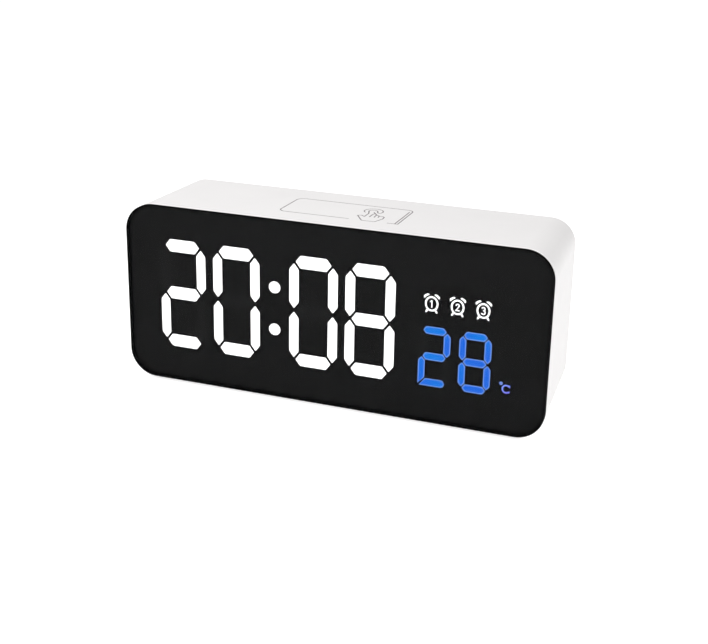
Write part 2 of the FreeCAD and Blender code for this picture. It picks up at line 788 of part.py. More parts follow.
def cover_openings():
    """Everything that is cut through the rear cover."""
    cuts = []
    for x in button_centres.values():
        points, radius = button_outline(x, running_gap)
        cuts.append(slab(points, radius, cover_in, cover_out))
    slot_half = (2.6 + switch_travel) / 2 + 0.2
    cuts.append(slab(rectangle(slot_half, 1.2, (slider_x + switch_travel / 2, control_z)), 0.5,
                     cover_in, cover_out))
    cuts.append(slab(inlet_outline(0.4), 0.4, cover_in, cover_out))
    cuts.append(slab(rectangle(door_half_length + door_gap, door_half_height + door_gap, (bay_x, bay_z)), 0.8,
                     cover_in, cover_out))
    cuts += [rod(x, z, 0.8, cover_in, cover_out) for x, z in grille_places()]
    for i in range(4):
        cuts.append(slab(rectangle(4.5, 0.6, (-62.0, control_z - 4.5 + 3.0 * i)), 0.55, cover_in, cover_out))
    for side in (-1, 1):
        inner = bay_x + side * (door_half_length - 0.5)
        outer = bay_x + side * (door_half_length + pin_length + 0.2)
        cuts.append(cross_rod(min(inner, outer), max(inner, outer), hinge_y, hinge_z, pin_radius + 0.05))
    head_bed = cover_screw["head_height"]
    for x, z in cover_post_places():
        cuts.append(rod(x, z, cover_screw["shank"], cover_in, cover_out))
        cuts.append(rod(x, z, cover_screw["head"] + 0.25, cover_out - head_bed, cover_out))
    return cuts


def rear_cover():
    """Inset rear plate with board posts and the speaker's seat on its inner side."""
    plate = body_solid(cover_in, cover_out, wall + 0.15)
    posts = [rod(x, control_z, 2.2, button_board_out, cover_in) for x in post_places]
    seat = tube_ring(speaker_x, speaker_z, speaker_radius + 1.4, speaker_radius + 0.1,
                     cover_in - 3.0, cover_in)
    finger_notch = slab(rectangle(5.0, 1.6, (bay_x, bay_z - door_half_height - 1.0)), 1.2,
                        cover_out - 1.2, cover_out)
    bore_end = button_board_out + board_screw["length"]
    bores = [rod(x, control_z, board_screw["shank"], button_board_out, bore_end) for x in post_places]
    return plate.cut(group([*cover_openings(), finger_notch])).fuse([*posts, seat]).cut(group(bores))


def button_mark(name, x):
    """Sign sunk into a button's top."""
    place, along = on_front(rear - 0.2), Vector(0, 0.4, 0)
    z, pen = control_z, 0.4
    level = bar((x - 1.0, z), (x + 1.0, z), pen, place, along)
    if name == "up":
        return [level, bar((x, z - 1.0), (x, z + 1.0), pen, place, along)]
    if name == "down":
        return [level]
    if name == "set":
        return [tube_ring(x, z, 1.2, 0.8, rear - 0.2, rear + 0.2)]
    if name == "alarm":
        bells = [bar((x + s * 0.75, z + 1.45), (x + s * 1.35, z + 0.95), pen, place, along) for s in (-1, 1)]
        hands = polyline([(x, z + 0.55), (x, z), (x + 0.4, z)], 0.25, place, along)
        return [tube_ring(x, z, 1.15, 0.8, rear - 0.2, rear + 0.2), *bells, *hands]
    rays = []
    for i in range(8):
        a = math.pi * i / 4
        rays.append(bar((x + 1.0 * math.cos(a), z + 1.0 * math.sin(a)),
                        (x + 1.5 * math.cos(a), z + 1.5 * math.sin(a)), 0.25, place, along))
    return [rod(x, z, 0.6, rear - 0.2, rear + 0.2), *rays]


def button_cap(name, x):
    """Button with a soft-edged top, a retaining flange behind the cover and a sunk sign."""
    points, radius = button_outline(x, 0.0)
    cap = slab(points, radius, cover_in - 0.1, rear)
    cap = cap.makeFillet(0.5, edges_at(cap, rear))
    points, radius = button_outline(x, flange_lap)
    lip = slab(points, radius, cover_in - 0.1 - button_flange, cover_in - 0.1)
    return cap.fuse(lip).cut(group(button_mark(name, x)))


def switch_plunger(x):
    """Round actuator that carries a button's push into its switch."""
    return rod(x, control_z, plunger_radius, button_board_out + 1.5, button_board_out + tact_reach)


def tact_switches():
    """Square switch bodies under the buttons, each bored for its plunger."""
    half, top = tact_size / 2, button_board_out + tact_height
    bodies = []
    for x in button_centres.values():
        body = box(x - half, x + half, button_board_out, top, control_z - half, control_z + half)
        upright = [e for e in body.Edges if e.BoundBox.YLength > tact_height / 2]
        body = body.makeChamfer(0.4, upright)
        bodies.append(body.cut(rod(x, control_z, plunger_radius + 0.05, button_board_out + 0.8, top)))
    return group(bodies)


def slider_case():
    """Slide switch body with a pocket for its runner."""
    middle = slider_x + switch_travel / 2
    case = box(middle - 4.6, middle + 4.6, button_board_out, button_board_out + 3.5,
               control_z - 2.1, control_z + 2.1)
    pocket = box(middle - 3.4, middle + 3.4, button_board_out + 1.5, button_board_out + 3.5,
                 control_z - 1.15, control_z + 1.15)
    return case.cut(pocket)


def slider_knob():
    """Runner and ridged knob of the slide switch, at the left end of its travel."""
    base = box(slider_x - 1.75, slider_x + 1.75, button_board_out + 1.6, button_board_out + 3.4,
               control_z - 1.0, control_z + 1.0)
    stem = box(slider_x - 1.3, slider_x + 1.3, button_board_out + 3.4, cover_out + 0.8,
               control_z - 0.95, control_z + 0.95)
    ridges = [box(slider_x + s - 0.2, slider_x + s + 0.2, cover_out + 0.5, cover_out + 0.8,
                  control_z - 0.95, control_z + 0.95) for s in (-0.8, 0.0, 0.8)]
    return base.fuse(stem).cut(group(ridges))


def inlet_shell():
    """Plated shell of the low-voltage power socket."""
    y0, y1 = button_board_out, cover_out - 0.3
    return slab(inlet_outline(0.0), 0.3, y0, y1).cut(slab(inlet_outline(-0.3), 0.2, y0 + 0.5, y1))


def inlet_tongue():
    """Insulating tongue inside the power socket."""
    y0 = button_board_out + 0.5
    return box(inlet_x - 1.9, inlet_x + 1.9, y0, cover_in + 0.6, control_z + 0.1, control_z + 0.7)


def button_board():
    """Circuit board behind the rear controls."""
    left, right = button_board_ends
    centre = ((left + right) / 2, control_z)
    board = slab(rectangle((right - left) / 2, button_board_half, centre), 1.0,
                 button_board_in, button_board_out)
    holes = [rod(x, control_z, board_screw["shank"], button_board_in, button_board_out)
             for x in post_places]
    return board.cut(group(holes))


def thermometer():
    """Temperature bead near the vents, on two stiff legs from the button board."""
    bead_y = (button_board_in + button_board_out) / 2
    bead = Part.makeSphere(1.4, Vector(-57.0, bead_y, control_z))
    legs = [cross_rod(-56.5, button_board_ends[0], bead_y, control_z + side * 0.6, 0.2) for side in (-1, 1)]
    return joined([bead, *legs])


# ---- battery bay ----

def cell_rows():
    """Height and nub direction of each cell, laid head to tail."""
    return [(bay_z - cell_pitch, -1), (bay_z, 1), (bay_z + cell_pitch, -1)]


def contact_levels():
    """Contact plates as (side of the bay, lowest z, highest z): two single and two double ones."""
    low, middle, high = [z for z, _ in cell_rows()]
    half = 4.0
    return [(-1, low - half, low + half), (1, low - half, middle + half),
            (-1, middle - half, high + half), (1, high - half, high + half)]


def tab_box(side, z, y0):
    """Solder tab that passes through the tray's floor from the end of a plate."""
    outer = bay_x + side * bay_half_length
    inner = outer - side * contact_thickness
    return box(min(outer, inner), max(outer, inner), y0, tray_floor, z - 1.0, z + 1.0)


def battery_tray():
    """Open tray behind the cover, with two ribs between the cells and slots for the solder tabs."""
    outer = slab(rectangle(bay_half_length + tray_wall, bay_half_height + tray_wall, (bay_x, bay_z)), 1.5,
                 tray_floor - tray_wall, cover_in)
    hollow = slab(rectangle(bay_half_length, bay_half_height, (bay_x, bay_z)), 0.6, tray_floor, cover_in)
    ribs = [box(bay_x - 18.0, bay_x + 18.0, tray_floor - 0.2, tray_floor + 2.4, z - 0.4, z + 0.4)
            for z in (bay_z - cell_pitch / 2, bay_z + cell_pitch / 2)]
    slots = [tab_box(side, (low + high) / 2, tray_floor - tray_wall) for side, low, high in contact_levels()]
    return outer.cut(hollow).fuse(ribs).cut(group(slots))


def battery_contacts():
    """Nickel-plated contact plates at both ends of the bay."""
    plates = []
    for side, low, high in contact_levels():
        outer = bay_x + side * bay_half_length
        inner = outer - side * contact_thickness
        plate = box(min(outer, inner), max(outer, inner), tray_floor, cover_in - 2.0, low, high)
        tab = tab_box(side, (low + high) / 2, tray_floor - tray_wall - tab_tail)
        plates.append(joined([plate, tab]))
    return group(plates)


def battery_cell(z, nub_side):
    """Size AAA cell: its nub presses on a plate, its flat end on a spring."""
    head = bay_x + nub_side * (bay_half_length - contact_thickness)
    shoulder = head - nub_side * nub_length
    tail = head - nub_side * cell_length
    can = cross_rod(min(shoulder, tail), max(shoulder, tail), cell_y, z, cell_radius)
    can = can.makeFillet(0.4, [e for e in can.Edges if e.BoundBox.XLength < 1e-4])
    nub = cross_rod(min(head, shoulder), max(head, shoulder), cell_y, z, nub_radius)
    return joined([can, nub])


def polygon_ring(middle, aside, above, radius, flats):
    """Closed wire of a regular polygon across two directions."""
    corners = []
    for i in range(flats + 1):
        a = 2 * math.pi * i / flats
        corners.append(middle + aside * (radius * math.cos(a)) + above * (radius * math.sin(a)))
    return Part.makePolygon(corners)


def battery_springs():
    """Tapered contact springs behind the flat ends of the cells, bent from wire with eight flats."""
    wire, turns, bends = 0.25, 3, 8
    wide, narrow = 3.4, 2.4
    length = 2 * (bay_half_length - contact_thickness) - cell_length - 2.4 * wire
    mitred = 1
    springs = []
    for z, nub_side in cell_rows():
        seat = bay_x - nub_side * (bay_half_length - contact_thickness - 1.2 * wire)
        route = []
        for i in range(turns * bends + 1):
            share = i / (turns * bends)
            a = 2 * math.pi * i / bends
            r = wide + (narrow - wide) * share
            x = seat + nub_side * length * share
            route.append(Vector(x, cell_y + r * math.cos(a), z + r * math.sin(a)))
        heading = (route[1] - route[0]).normalize()
        aside = heading.cross(Vector(1, 0, 0)).normalize()
        section = polygon_ring(route[0], aside, heading.cross(aside), wire, 8)
        springs.append(Part.makePolygon(route).makePipeShell([section], True, False, mitred))
    return group(springs)


def battery_door():
    """Door with a round hinged top edge, two pins, grip ridges and a thumb catch at the bottom."""
    low, high = bay_z - door_half_height, hinge_z
    leaf = slab([(bay_x - door_half_length, low), (bay_x + door_half_length, low),
                 (bay_x + door_half_length, high), (bay_x - door_half_length, high)],
                [1.5, 1.5, 0, 0], cover_in, cover_out)
    knuckle = cross_rod(bay_x - door_half_length, bay_x + door_half_length, hinge_y, hinge_z, hinge_radius)
    reach = door_half_length + pin_length
    pins = cross_rod(bay_x - reach, bay_x + reach, hinge_y, hinge_z, pin_radius)
    catch_slots = [box(bay_x + s * 5.5 - 0.4, bay_x + s * 5.5 + 0.4, cover_in, cover_out, low, low + 7.0)
                   for s in (-1, 1)]
    ridges = [box(bay_x - 3.5, bay_x + 3.5, cover_out, cover_out + 0.35, low + h, low + h + 0.7)
              for h in (1.2, 2.8, 4.4)]
    return joined([leaf, knuckle, pins]).cut(group(catch_slots)).fuse(ridges)


# ---- speaker ----

def speaker_gasket():
    """Foam ring between the speaker and the cover."""
    return tube_ring(speaker_x, speaker_z, speaker_radius, speaker_radius - 2.4,
                     cover_in - gasket_thickness, cover_in)


def turned(points):
    """Solid of revolution about the speaker's axis, from (radius, y) points."""
    wire = Part.makePolygon([Vector(speaker_x + r, y, speaker_z) for r, y in [*points, points[0]]])
    return Part.Face(wire).revolve(Vector(speaker_x, 0, speaker_z), Vector(0, 1, 0), 360)


def speaker_basket():
    """Pressed steel frame of the speaker."""
    y = cover_in - gasket_thickness
    r = speaker_radius
    back = y - basket_depth
    return turned([(r - 2.4, y), (r, y), (r, y - 0.8), (r - 1.4, y - 0.8), (r - 4.0, back), (3.5, back),
                   (3.5, back + 0.8), (r - 4.6, back + 0.8), (r - 2.4, y - 0.6)])


def speaker_cone():
    """Thin cone and dust cap."""
    y = cover_in - gasket_thickness - 0.1
    r = speaker_radius - 2.7
    return turned([(r, y), (r, y - 0.3), (4.5, y - 2.6), (0, y - 2.6), (0, y - 1.6), (2.6, y - 1.9),
                   (4.5, y - 2.3)])


def speaker_magnet():
    """Magnet cup behind the basket."""
    return rod(speaker_x, speaker_z, 7.5, speaker_back, speaker_back + magnet_depth)


# ---- screws and wiring ----

def pan_screw(x, z, seat_y, direction, size):
    """Cross-head screw whose head rests on seat_y; direction is the way its tip points along Y."""
    tip = seat_y + direction * size["length"]
    top = seat_y - direction * size["head_height"]
    shank = rod(x, z, size["shank"], min(seat_y, tip), max(seat_y, tip))
    head = rod(x, z, size["head"], min(seat_y, top), max(seat_y, top))
    head = head.makeFillet(0.35, edges_at(head, top))
    depth = top + direction * 0.7
    wide, narrow = size["head"] * 0.55, 0.3
    cross = [box(x - a, x + a, min(top, depth), max(top, depth), z - b, z + b)
             for a, b in ((wide, narrow), (narrow, wide))]
    return head.fuse(shank).cut(group(cross))


def cover_screws():
    """Four screws that hold the rear cover on the corner columns."""
    seat = cover_out - cover_screw["head_height"]
    size = dict(cover_screw, length=cover_screw["length"] + seat - cover_in - 0.5)
    return group([pan_screw(x, z, seat, -1, size) for x, z in cover_post_places()])


def board_screws():
    """Seven equal screws: four in the display board, three in the button board."""
    size = dict(board_screw, length=board_thickness + board_screw["length"] - 0.5)
    screws = [pan_screw(x, z, board_back, -1, size) for x, z in board_post_places()]
    screws += [pan_screw(x, control_z, button_board_in, 1, size) for x in post_places]
    return group(screws)


def leads(polarity):
    """Battery lead and speaker lead of one polarity, each with its own route to the button board."""
    red = polarity > 0
    side, row, landing, turn_y = (-1, 0, -38.0, 2.0) if red else (1, 2, -30.0, 3.5)
    level = cell_rows()[row][0]
    landing_z = control_z - 3.0
    tab_x = bay_x + side * (bay_half_length - contact_thickness / 2)
    battery = lead([(tab_x, tray_floor - tray_wall - tab_tail, level), (tab_x, turn_y, level),
                    (landing, turn_y, landing_z), (landing, button_board_in, landing_z)], lead_radius)
    x, drop_y = speaker_x + 2.5 * polarity, speaker_back - 5.4
    speaker = lead([(x, speaker_back, speaker_z), (x, drop_y, speaker_z), (x, drop_y, landing_z),
                    (x, button_board_in, landing_z)], lead_radius)
    return group([battery, speaker])


# ---- all sub-parts ----

def build():
    """Every sub-part by node name."""
    nodes = {
        "mirror_panel": mirror_panel(),
        "display_film": display_film(),
        "panel_adhesive": panel_adhesive(),
        "segment_reflector": segment_reflector(),
        "time_segments_lit": diffusers(time_outlines, True),
        "time_segments_dark": diffusers(time_outlines, False),
        "temperature_segments_lit": diffusers(heat_outlines, True),
        "temperature_segments_dark": diffusers(heat_outlines, False),
        "colon_dots": colon_dots(),
        "alarm_icons": alarm_icons(),
        "celsius_mark": celsius_mark(),
        "display_board": display_board(),
        "white_lamps": white_lamps(),
        "blue_lamps": blue_lamps(),
        "controller_chip": controller_chip(),
        "chip_pins": chip_pins(),
        "clock_crystal": clock_crystal(),
        "smoothing_capacitor": smoothing_capacitor(),
        "ribbon_connectors": ribbon_connectors(),
        "ribbon_cable": ribbon_cable(),
        "housing_shell": housing_shell(),
        "touch_zone_print": touch_zone_print(),
        "touch_electrode": touch_electrode(),
        "rear_cover": rear_cover(),
        "button_board": button_board(),
        "tact_switches": tact_switches(),
        "slider_case": slider_case(),
        "slider_knob": slider_knob(),
        "inlet_shell": inlet_shell(),
        "inlet_tongue": inlet_tongue(),
        "thermometer": thermometer(),
        "battery_tray": battery_tray(),
        "battery_contacts": battery_contacts(),
        "battery_springs": battery_springs(),
        "battery_door": battery_door(),
        "speaker_gasket": speaker_gasket(),
        "speaker_basket": speaker_basket(),
        "speaker_cone": speaker_cone(),
        "speaker_magnet": speaker_magnet(),
        "cover_screws": cover_screws(),
        "board_screws": board_screws(),
        "red_leads": leads(1),
        "black_leads": group([*leads(-1).Solids, touch_lead()]),
    }
    for name, x in button_centres.items():
        nodes["button_" + name] = button_cap(name, x)
        nodes["plunger_" + name] = switch_plunger(x)
    for number, (z, nub_side) in enumerate(cell_rows(), 1):
        nodes[f"battery_cell_{number}"] = battery_cell(z, nub_side)
    for number, (x, y) in enumerate(foot_places, 1):
        nodes[f"foot_{number}"] = foot(x, y)
    return nodes


os.makedirs("parts", exist_ok=True)
for node, shape in build().items():
    shape.exportStep(f"parts/{node}.step")
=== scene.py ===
import json
import math

import bmesh
import bpy
from mathutils import Matrix, Vector


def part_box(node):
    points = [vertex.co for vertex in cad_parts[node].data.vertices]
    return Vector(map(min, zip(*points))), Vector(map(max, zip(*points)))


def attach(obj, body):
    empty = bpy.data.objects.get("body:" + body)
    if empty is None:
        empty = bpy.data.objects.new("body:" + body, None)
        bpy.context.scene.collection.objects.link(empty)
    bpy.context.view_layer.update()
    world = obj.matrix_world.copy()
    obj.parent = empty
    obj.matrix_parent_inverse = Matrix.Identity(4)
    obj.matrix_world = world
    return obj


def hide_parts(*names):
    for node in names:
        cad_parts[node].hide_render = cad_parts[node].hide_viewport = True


# A desk alarm clock in a bright studio: white moulded housing, black mirror front, and lit figures
# behind the front. Metres throughout, in the CAD's own frame.

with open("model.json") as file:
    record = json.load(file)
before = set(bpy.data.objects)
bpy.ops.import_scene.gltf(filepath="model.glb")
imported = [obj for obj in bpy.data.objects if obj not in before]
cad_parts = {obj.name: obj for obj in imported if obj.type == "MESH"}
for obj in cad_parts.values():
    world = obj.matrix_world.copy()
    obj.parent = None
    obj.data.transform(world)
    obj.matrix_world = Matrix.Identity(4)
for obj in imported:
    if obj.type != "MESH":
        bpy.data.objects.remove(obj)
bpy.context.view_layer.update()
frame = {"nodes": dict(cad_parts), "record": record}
nodes = frame["nodes"]
MM = 0.001
ON_PLANE = 0.01 * MM        # how near to a plane a vertex lies that counts as on it


# ---- building materials ----

class Finish:
    """One procedural material, built node by node around a Principled shader."""

    def __init__(self, name, color, roughness, **sockets):
        self.material = bpy.data.materials.new(name)
        self.material.use_nodes = True
        self.tree = self.material.node_tree
        self.shader = self.tree.nodes["Principled BSDF"]
        self.color = color
        self.shader.inputs["Base Color"].default_value = (*color, 1)
        self.shader.inputs["Roughness"].default_value = roughness
        for socket, value in sockets.items():
            self.shader.inputs[socket.replace("_", " ")].default_value = value
        self.place = self.node("ShaderNodeTexCoord").outputs["Object"]

    def node(self, kind, inputs=(), **settings):
        """Adds a node; inputs maps a socket's name or number to a value or to another node's output."""
        made = self.tree.nodes.new(kind)
        for key, value in settings.items():
            setattr(made, key, value)
        for key, value in dict(inputs).items():
            if isinstance(value, bpy.types.NodeSocket):
                self.tree.links.new(value, made.inputs[key])
            else:
                made.inputs[key].default_value = value
        return made

    def stretched(self, x=1.0, y=1.0, z=1.0):
        """The object's own coordinates, scaled along each axis."""
        return self.node("ShaderNodeMapping", {"Vector": self.place, "Scale": (x, y, z)}).outputs["Vector"]

    def noise(self, grain, detail=3.0, place=None):
        """Noise whose features are about grain metres wide."""
        return self.node("ShaderNodeTexNoise", {"Vector": place or self.place, "Scale": 1 / grain,
                                                "Detail": detail}).outputs["Fac"]

    def cells(self, grain, **settings):
        """Distance to the nearest point of a scatter that is about grain metres apart."""
        return self.node("ShaderNodeTexVoronoi", {"Vector": self.place, "Scale": 1 / grain},
                         **settings).outputs["Distance"]

    def axis(self, name):
        """One coordinate, in metres."""
        return self.node("ShaderNodeSeparateXYZ", {"Vector": self.place}).outputs[name]

    def facing_front(self):
        """1 on faces that look along -Y, 0 on all others."""
        normal = self.node("ShaderNodeTexCoord").outputs["Normal"]
        return self.mask(self.node("ShaderNodeSeparateXYZ", {"Vector": normal}).outputs["Y"], -0.6, -0.8)

    def calculate(self, operation, first, second):
        """A Math node's result; first and second are numbers or other nodes' outputs."""
        return self.node("ShaderNodeMath", {0: first, 1: second}, operation=operation).outputs["Value"]

    def ramp(self, value, *stops):
        """A colour ramp between two (position, colour) stops."""
        made = self.node("ShaderNodeValToRGB", {"Fac": value})
        for stop, (position, color) in zip(made.color_ramp.elements, stops):
            stop.position = position
            stop.color = (*color, 1)
        return made.outputs["Color"]

    def mask(self, value, low, high):
        """0 where value is under low, 1 where it is over high."""
        return self.node("ShaderNodeMapRange", {"Value": value, "From Min": low, "From Max": high},
                         interpolation_type="SMOOTHSTEP").outputs["Result"]

    def mix(self, factor, first, second):
        """Blends two colours; each is a tuple or another node's output."""
        first, second = ((*color, 1) if isinstance(color, tuple) else color for color in (first, second))
        return self.node("ShaderNodeMix", {"Factor": factor, "A": first, "B": second},
                         data_type="RGBA").outputs[2]

    def paint(self, color):
        self.tree.links.new(color, self.shader.inputs["Base Color"])
        return self

    def mottle(self, amount, grain, detail=4.0):
        """Slow drift of the colour by a share of itself."""
        dark = tuple(c * (1 - amount) for c in self.color)
        light = tuple(min(1.0, c * (1 + amount)) for c in self.color)
        return self.paint(self.ramp(self.noise(grain, detail), (0.3, dark), (0.7, light)))

    def rough(self, low, high, grain, place=None):
        """Roughness that drifts between low and high."""
        drift = self.node("ShaderNodeMapRange", {"Value": self.noise(grain, 4.0, place),
                                                 "From Min": 0.3, "From Max": 0.7,
                                                 "To Min": low, "To Max": high}).outputs["Result"]
        self.tree.links.new(drift, self.shader.inputs["Roughness"])
        return self

    def relief(self, height, depth):
        """Bumps of that depth in metres, over any made before."""
        bump = self.node("ShaderNodeBump", {"Height": height, "Distance": depth, "Strength": 1.0})
        earlier = self.shader.inputs["Normal"].links
        if earlier:
            self.tree.links.new(earlier[0].from_socket, bump.inputs["Normal"])
        self.tree.links.new(bump.outputs["Normal"], self.shader.inputs["Normal"])
        return self

    def glow(self, color, strength):
        """Light given off; color is a tuple or another node's output."""
        if isinstance(color, tuple):
            self.shader.inputs["Emission Color"].default_value = (*color, 1)
        else:
            self.tree.links.new(color, self.shader.inputs["Emission Color"])
        self.shader.inputs["Emission Strength"].default_value = strength
        return self


def moulded(name, color, grain, depth, low, high, **sockets):
    """Injection-moulded plastic: eroded mould texture, a slow drift of tone and of gloss."""
    finish = Finish(name, color, low, **sockets)
    finish.mottle(0.012, 18 * MM).rough(low, high, 6 * MM)
    return finish.relief(finish.noise(grain, 2.0), depth)


def metal(name, color, low, high, along=(1, 1, 1)):
    """Rolled or plated metal with fine drawn lines along one axis."""
    finish = Finish(name, color, low, Metallic=1.0)
    lines = finish.stretched(*along)
    finish.mottle(0.06, 3 * MM).rough(low, high, 0.4 * MM, lines)
    return finish.relief(finish.noise(0.25 * MM, 2.0, lines), 0.004 * MM)


# ---- one material for each slot of the record ----

UNLIT = (0, 0, 0)


def film_black():
    finish = Finish("film", (0.003, 0.003, 0.0032), 0.6, Specular_IOR_Level=0.02)
    return finish.mottle(0.15, 9 * MM).rough(0.5, 0.7, 4 * MM)


def tape_black():
    finish = Finish("foam_tape", (0.012, 0.012, 0.012), 0.85)
    return finish.mottle(0.2, 1 * MM).relief(finish.cells(0.35 * MM), 0.03 * MM)


def white_diffuser():
    """Milky front, lit from behind a little unevenly; its sides and rim are in the light well's dark."""
    finish = Finish("glow_white", (0.9, 0.9, 0.9), 0.45)
    rim = finish.node("ShaderNodeAttribute", attribute_name="rim").outputs["Fac"]
    front = finish.calculate("MULTIPLY", finish.facing_front(), finish.calculate("SUBTRACT", 1.0, rim))
    finish.paint(finish.mix(front, (0.01, 0.01, 0.01), finish.color))
    lit = finish.ramp(finish.noise(9 * MM, 1.0), (0.35, (0.97, 0.97, 0.97)), (0.65, (1, 1, 1)))
    return finish.glow(finish.mix(front, UNLIT, lit), strength=1.42)


def unit_sign():
    """Degree sign and its letter: blue light, paler at the upper left and violet at the lower right."""
    low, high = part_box("celsius_mark")
    finish = Finish("glow_blue", (0.01, 0.02, 0.1), 0.45, Specular_IOR_Level=0.1)
    span = high - low
    across = finish.calculate("DIVIDE", finish.calculate("SUBTRACT", finish.axis("X"), low.x), span.x)
    down = finish.calculate("DIVIDE", finish.calculate("SUBTRACT", high.z, finish.axis("Z")), span.z)
    slope = finish.calculate("MULTIPLY", finish.calculate("ADD", across, down), 0.5)
    lit = finish.ramp(slope, (0.15, (0.22, 0.36, 1.0)), (0.85, (0.2, 0.17, 0.95)))
    return finish.glow(finish.mix(finish.facing_front(), UNLIT, lit), strength=1.45)


def diffuser_unlit():
    finish = Finish("diffuser_unlit", (0.004, 0.004, 0.0043), 0.6, Specular_IOR_Level=0.08)
    return finish.mottle(0.1, 4 * MM).rough(0.5, 0.7, 2 * MM)


def circuit_board():
    """Solder mask over traces that show as slightly lighter right-angled paths, with small round pads."""
    finish = Finish("circuit_board", (0.012, 0.12, 0.05), 0.35, Coat_Weight=0.3)
    plan = finish.cells(3.2 * MM, distance="MANHATTAN")
    traces = finish.mask(finish.calculate("PINGPONG", plan, 0.17), 0.07, 0.1)
    mask = finish.mix(traces, finish.color, (0.03, 0.21, 0.085))
    pads = finish.mask(finish.cells(2.6 * MM), 0.17, 0.15)
    finish.paint(finish.mix(pads, mask, (0.72, 0.6, 0.36)))
    return finish.rough(0.28, 0.42, 2 * MM).relief(traces, 0.02 * MM)


def lamp(name, phosphor, rim):
    """Small lamp: phosphor in patches among the colour of its rim."""
    finish = Finish(name, rim, 0.25, Coat_Weight=0.5)
    return finish.paint(finish.ramp(finish.noise(1.2 * MM), (0.4, phosphor), (0.6, rim)))


def chip_epoxy(name, low, high):
    finish = Finish(name, (0.018, 0.018, 0.019), low)
    finish.mottle(0.25, 0.6 * MM).rough(low, high, 1 * MM)
    return finish.relief(finish.noise(0.12 * MM), 0.004 * MM)


def screen_print():
    """Grey ink, thin at places as silk-screened ink is."""
    finish = Finish("screen_print", (0.2, 0.18, 0.185), 0.6)
    thin = finish.mask(finish.noise(0.35 * MM, 5.0), 0.34, 0.5)
    finish.paint(finish.mix(thin, (0.36, 0.33, 0.335), (0.17, 0.15, 0.155)))
    return finish.relief(finish.noise(0.2 * MM), 0.004 * MM)


def flat_ribbon():
    """Grey ribbon cable with a groove between each two of its wires; the grooves are painted darker as
    painted shade.
    """
    finish = Finish("flat_ribbon", (0.36, 0.36, 0.38), 0.45)
    waves = finish.node("ShaderNodeTexWave", {"Vector": finish.place, "Scale": 1 / (6.4 * MM)},
                        bands_direction="X").outputs["Fac"]
    # darker in the grooves and lighter on the wires: painted shade in the recesses
    finish.paint(finish.ramp(waves, (0.0, (0.2, 0.2, 0.21)), (0.5, (0.4, 0.4, 0.42))))
    return finish.relief(waves, 0.15 * MM)


def capacitor_sleeve():
    """Dark heat-shrunk sleeve with a pale stripe down one side for the negative lead."""
    right_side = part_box("smoothing_capacitor")[1].x
    finish = Finish("capacitor_sleeve", (0.015, 0.025, 0.1), 0.25, Coat_Weight=0.4)
    stripe = finish.mask(finish.axis("X"), right_side - 0.8 * MM, right_side - 0.7 * MM)
    finish.paint(finish.mix(stripe, finish.color, (0.6, 0.62, 0.66)))
    return finish.rough(0.2, 0.35, 1 * MM).relief(finish.noise(0.8 * MM), 0.01 * MM)


def cell_jacket():
    """Shrink jackets of three dry cells laid head to tail: dark, with a copper-coloured band at each nub."""
    low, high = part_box("battery_cell_1")
    finish = Finish("cell_jacket", (0.02, 0.022, 0.026), 0.28, Metallic=0.55, Coat_Weight=0.5)
    band_width = 13 * MM
    at_low, at_high = low.x + band_width, high.x - band_width
    outer_band = finish.mask(finish.axis("X"), at_low, at_low - 0.2 * MM)
    middle_band = finish.mask(finish.axis("X"), at_high, at_high + 0.2 * MM)
    middle_low, middle_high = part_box("battery_cell_2")
    above = finish.mask(finish.axis("Z"), middle_low.z, middle_low.z + 0.1 * MM)
    below = finish.mask(finish.axis("Z"), middle_high.z, middle_high.z - 0.1 * MM)
    in_middle = finish.calculate("MULTIPLY", above, below)
    band = finish.mix(in_middle, outer_band, middle_band)
    finish.paint(finish.mix(band, finish.color, (0.55, 0.24, 0.09)))
    return finish.rough(0.22, 0.34, 5 * MM).relief(finish.noise(4 * MM, 2.0), 0.005 * MM)


def speaker_paper():
    """Pressed paper: fibres and faint rings about the speaker's axis."""
    low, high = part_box("speaker_cone")
    middle = (low + high) / 2
    finish = Finish("speaker_paper", (0.03, 0.03, 0.031), 0.8)
    off_axis = finish.node("ShaderNodeMapping", {"Vector": finish.place, "Location": -middle,
                                                 "Scale": (1, 0, 1)}).outputs["Vector"]
    rings = finish.node("ShaderNodeTexWave",
                        {"Vector": off_axis, "Scale": 1 / (5 * MM), "Distortion": 0.3},
                        wave_type="RINGS", rings_direction="SPHERICAL").outputs["Fac"]
    finish.mottle(0.3, 0.8 * MM, 6.0)
    return finish.relief(rings, 0.06 * MM).relief(finish.noise(0.3 * MM, 5.0), 0.03 * MM)


def foam():
    finish = Finish("foam", (0.02, 0.02, 0.02), 0.95)
    return finish.mottle(0.3, 0.7 * MM).relief(finish.cells(0.5 * MM), 0.12 * MM)


def ferrite():
    finish = Finish("ferrite", (0.06, 0.06, 0.065), 0.6, Metallic=0.3)
    finish.mottle(0.35, 0.8 * MM).rough(0.45, 0.7, 1 * MM)
    return finish.relief(finish.noise(0.3 * MM), 0.015 * MM)


def foot_rubber():
    finish = Finish("foot_rubber", (0.035, 0.035, 0.036), 0.85, Sheen_Weight=0.15)
    return finish.mottle(0.3, 1.5 * MM).relief(finish.cells(0.7 * MM), 0.05 * MM)


def wire_sleeve(name, color):
    finish = Finish(name, color, 0.35, Coat_Weight=0.15)
    finish.mottle(0.1, 3 * MM).rough(0.3, 0.45, 2 * MM)
    return finish.relief(finish.noise(0.6 * MM), 0.008 * MM)


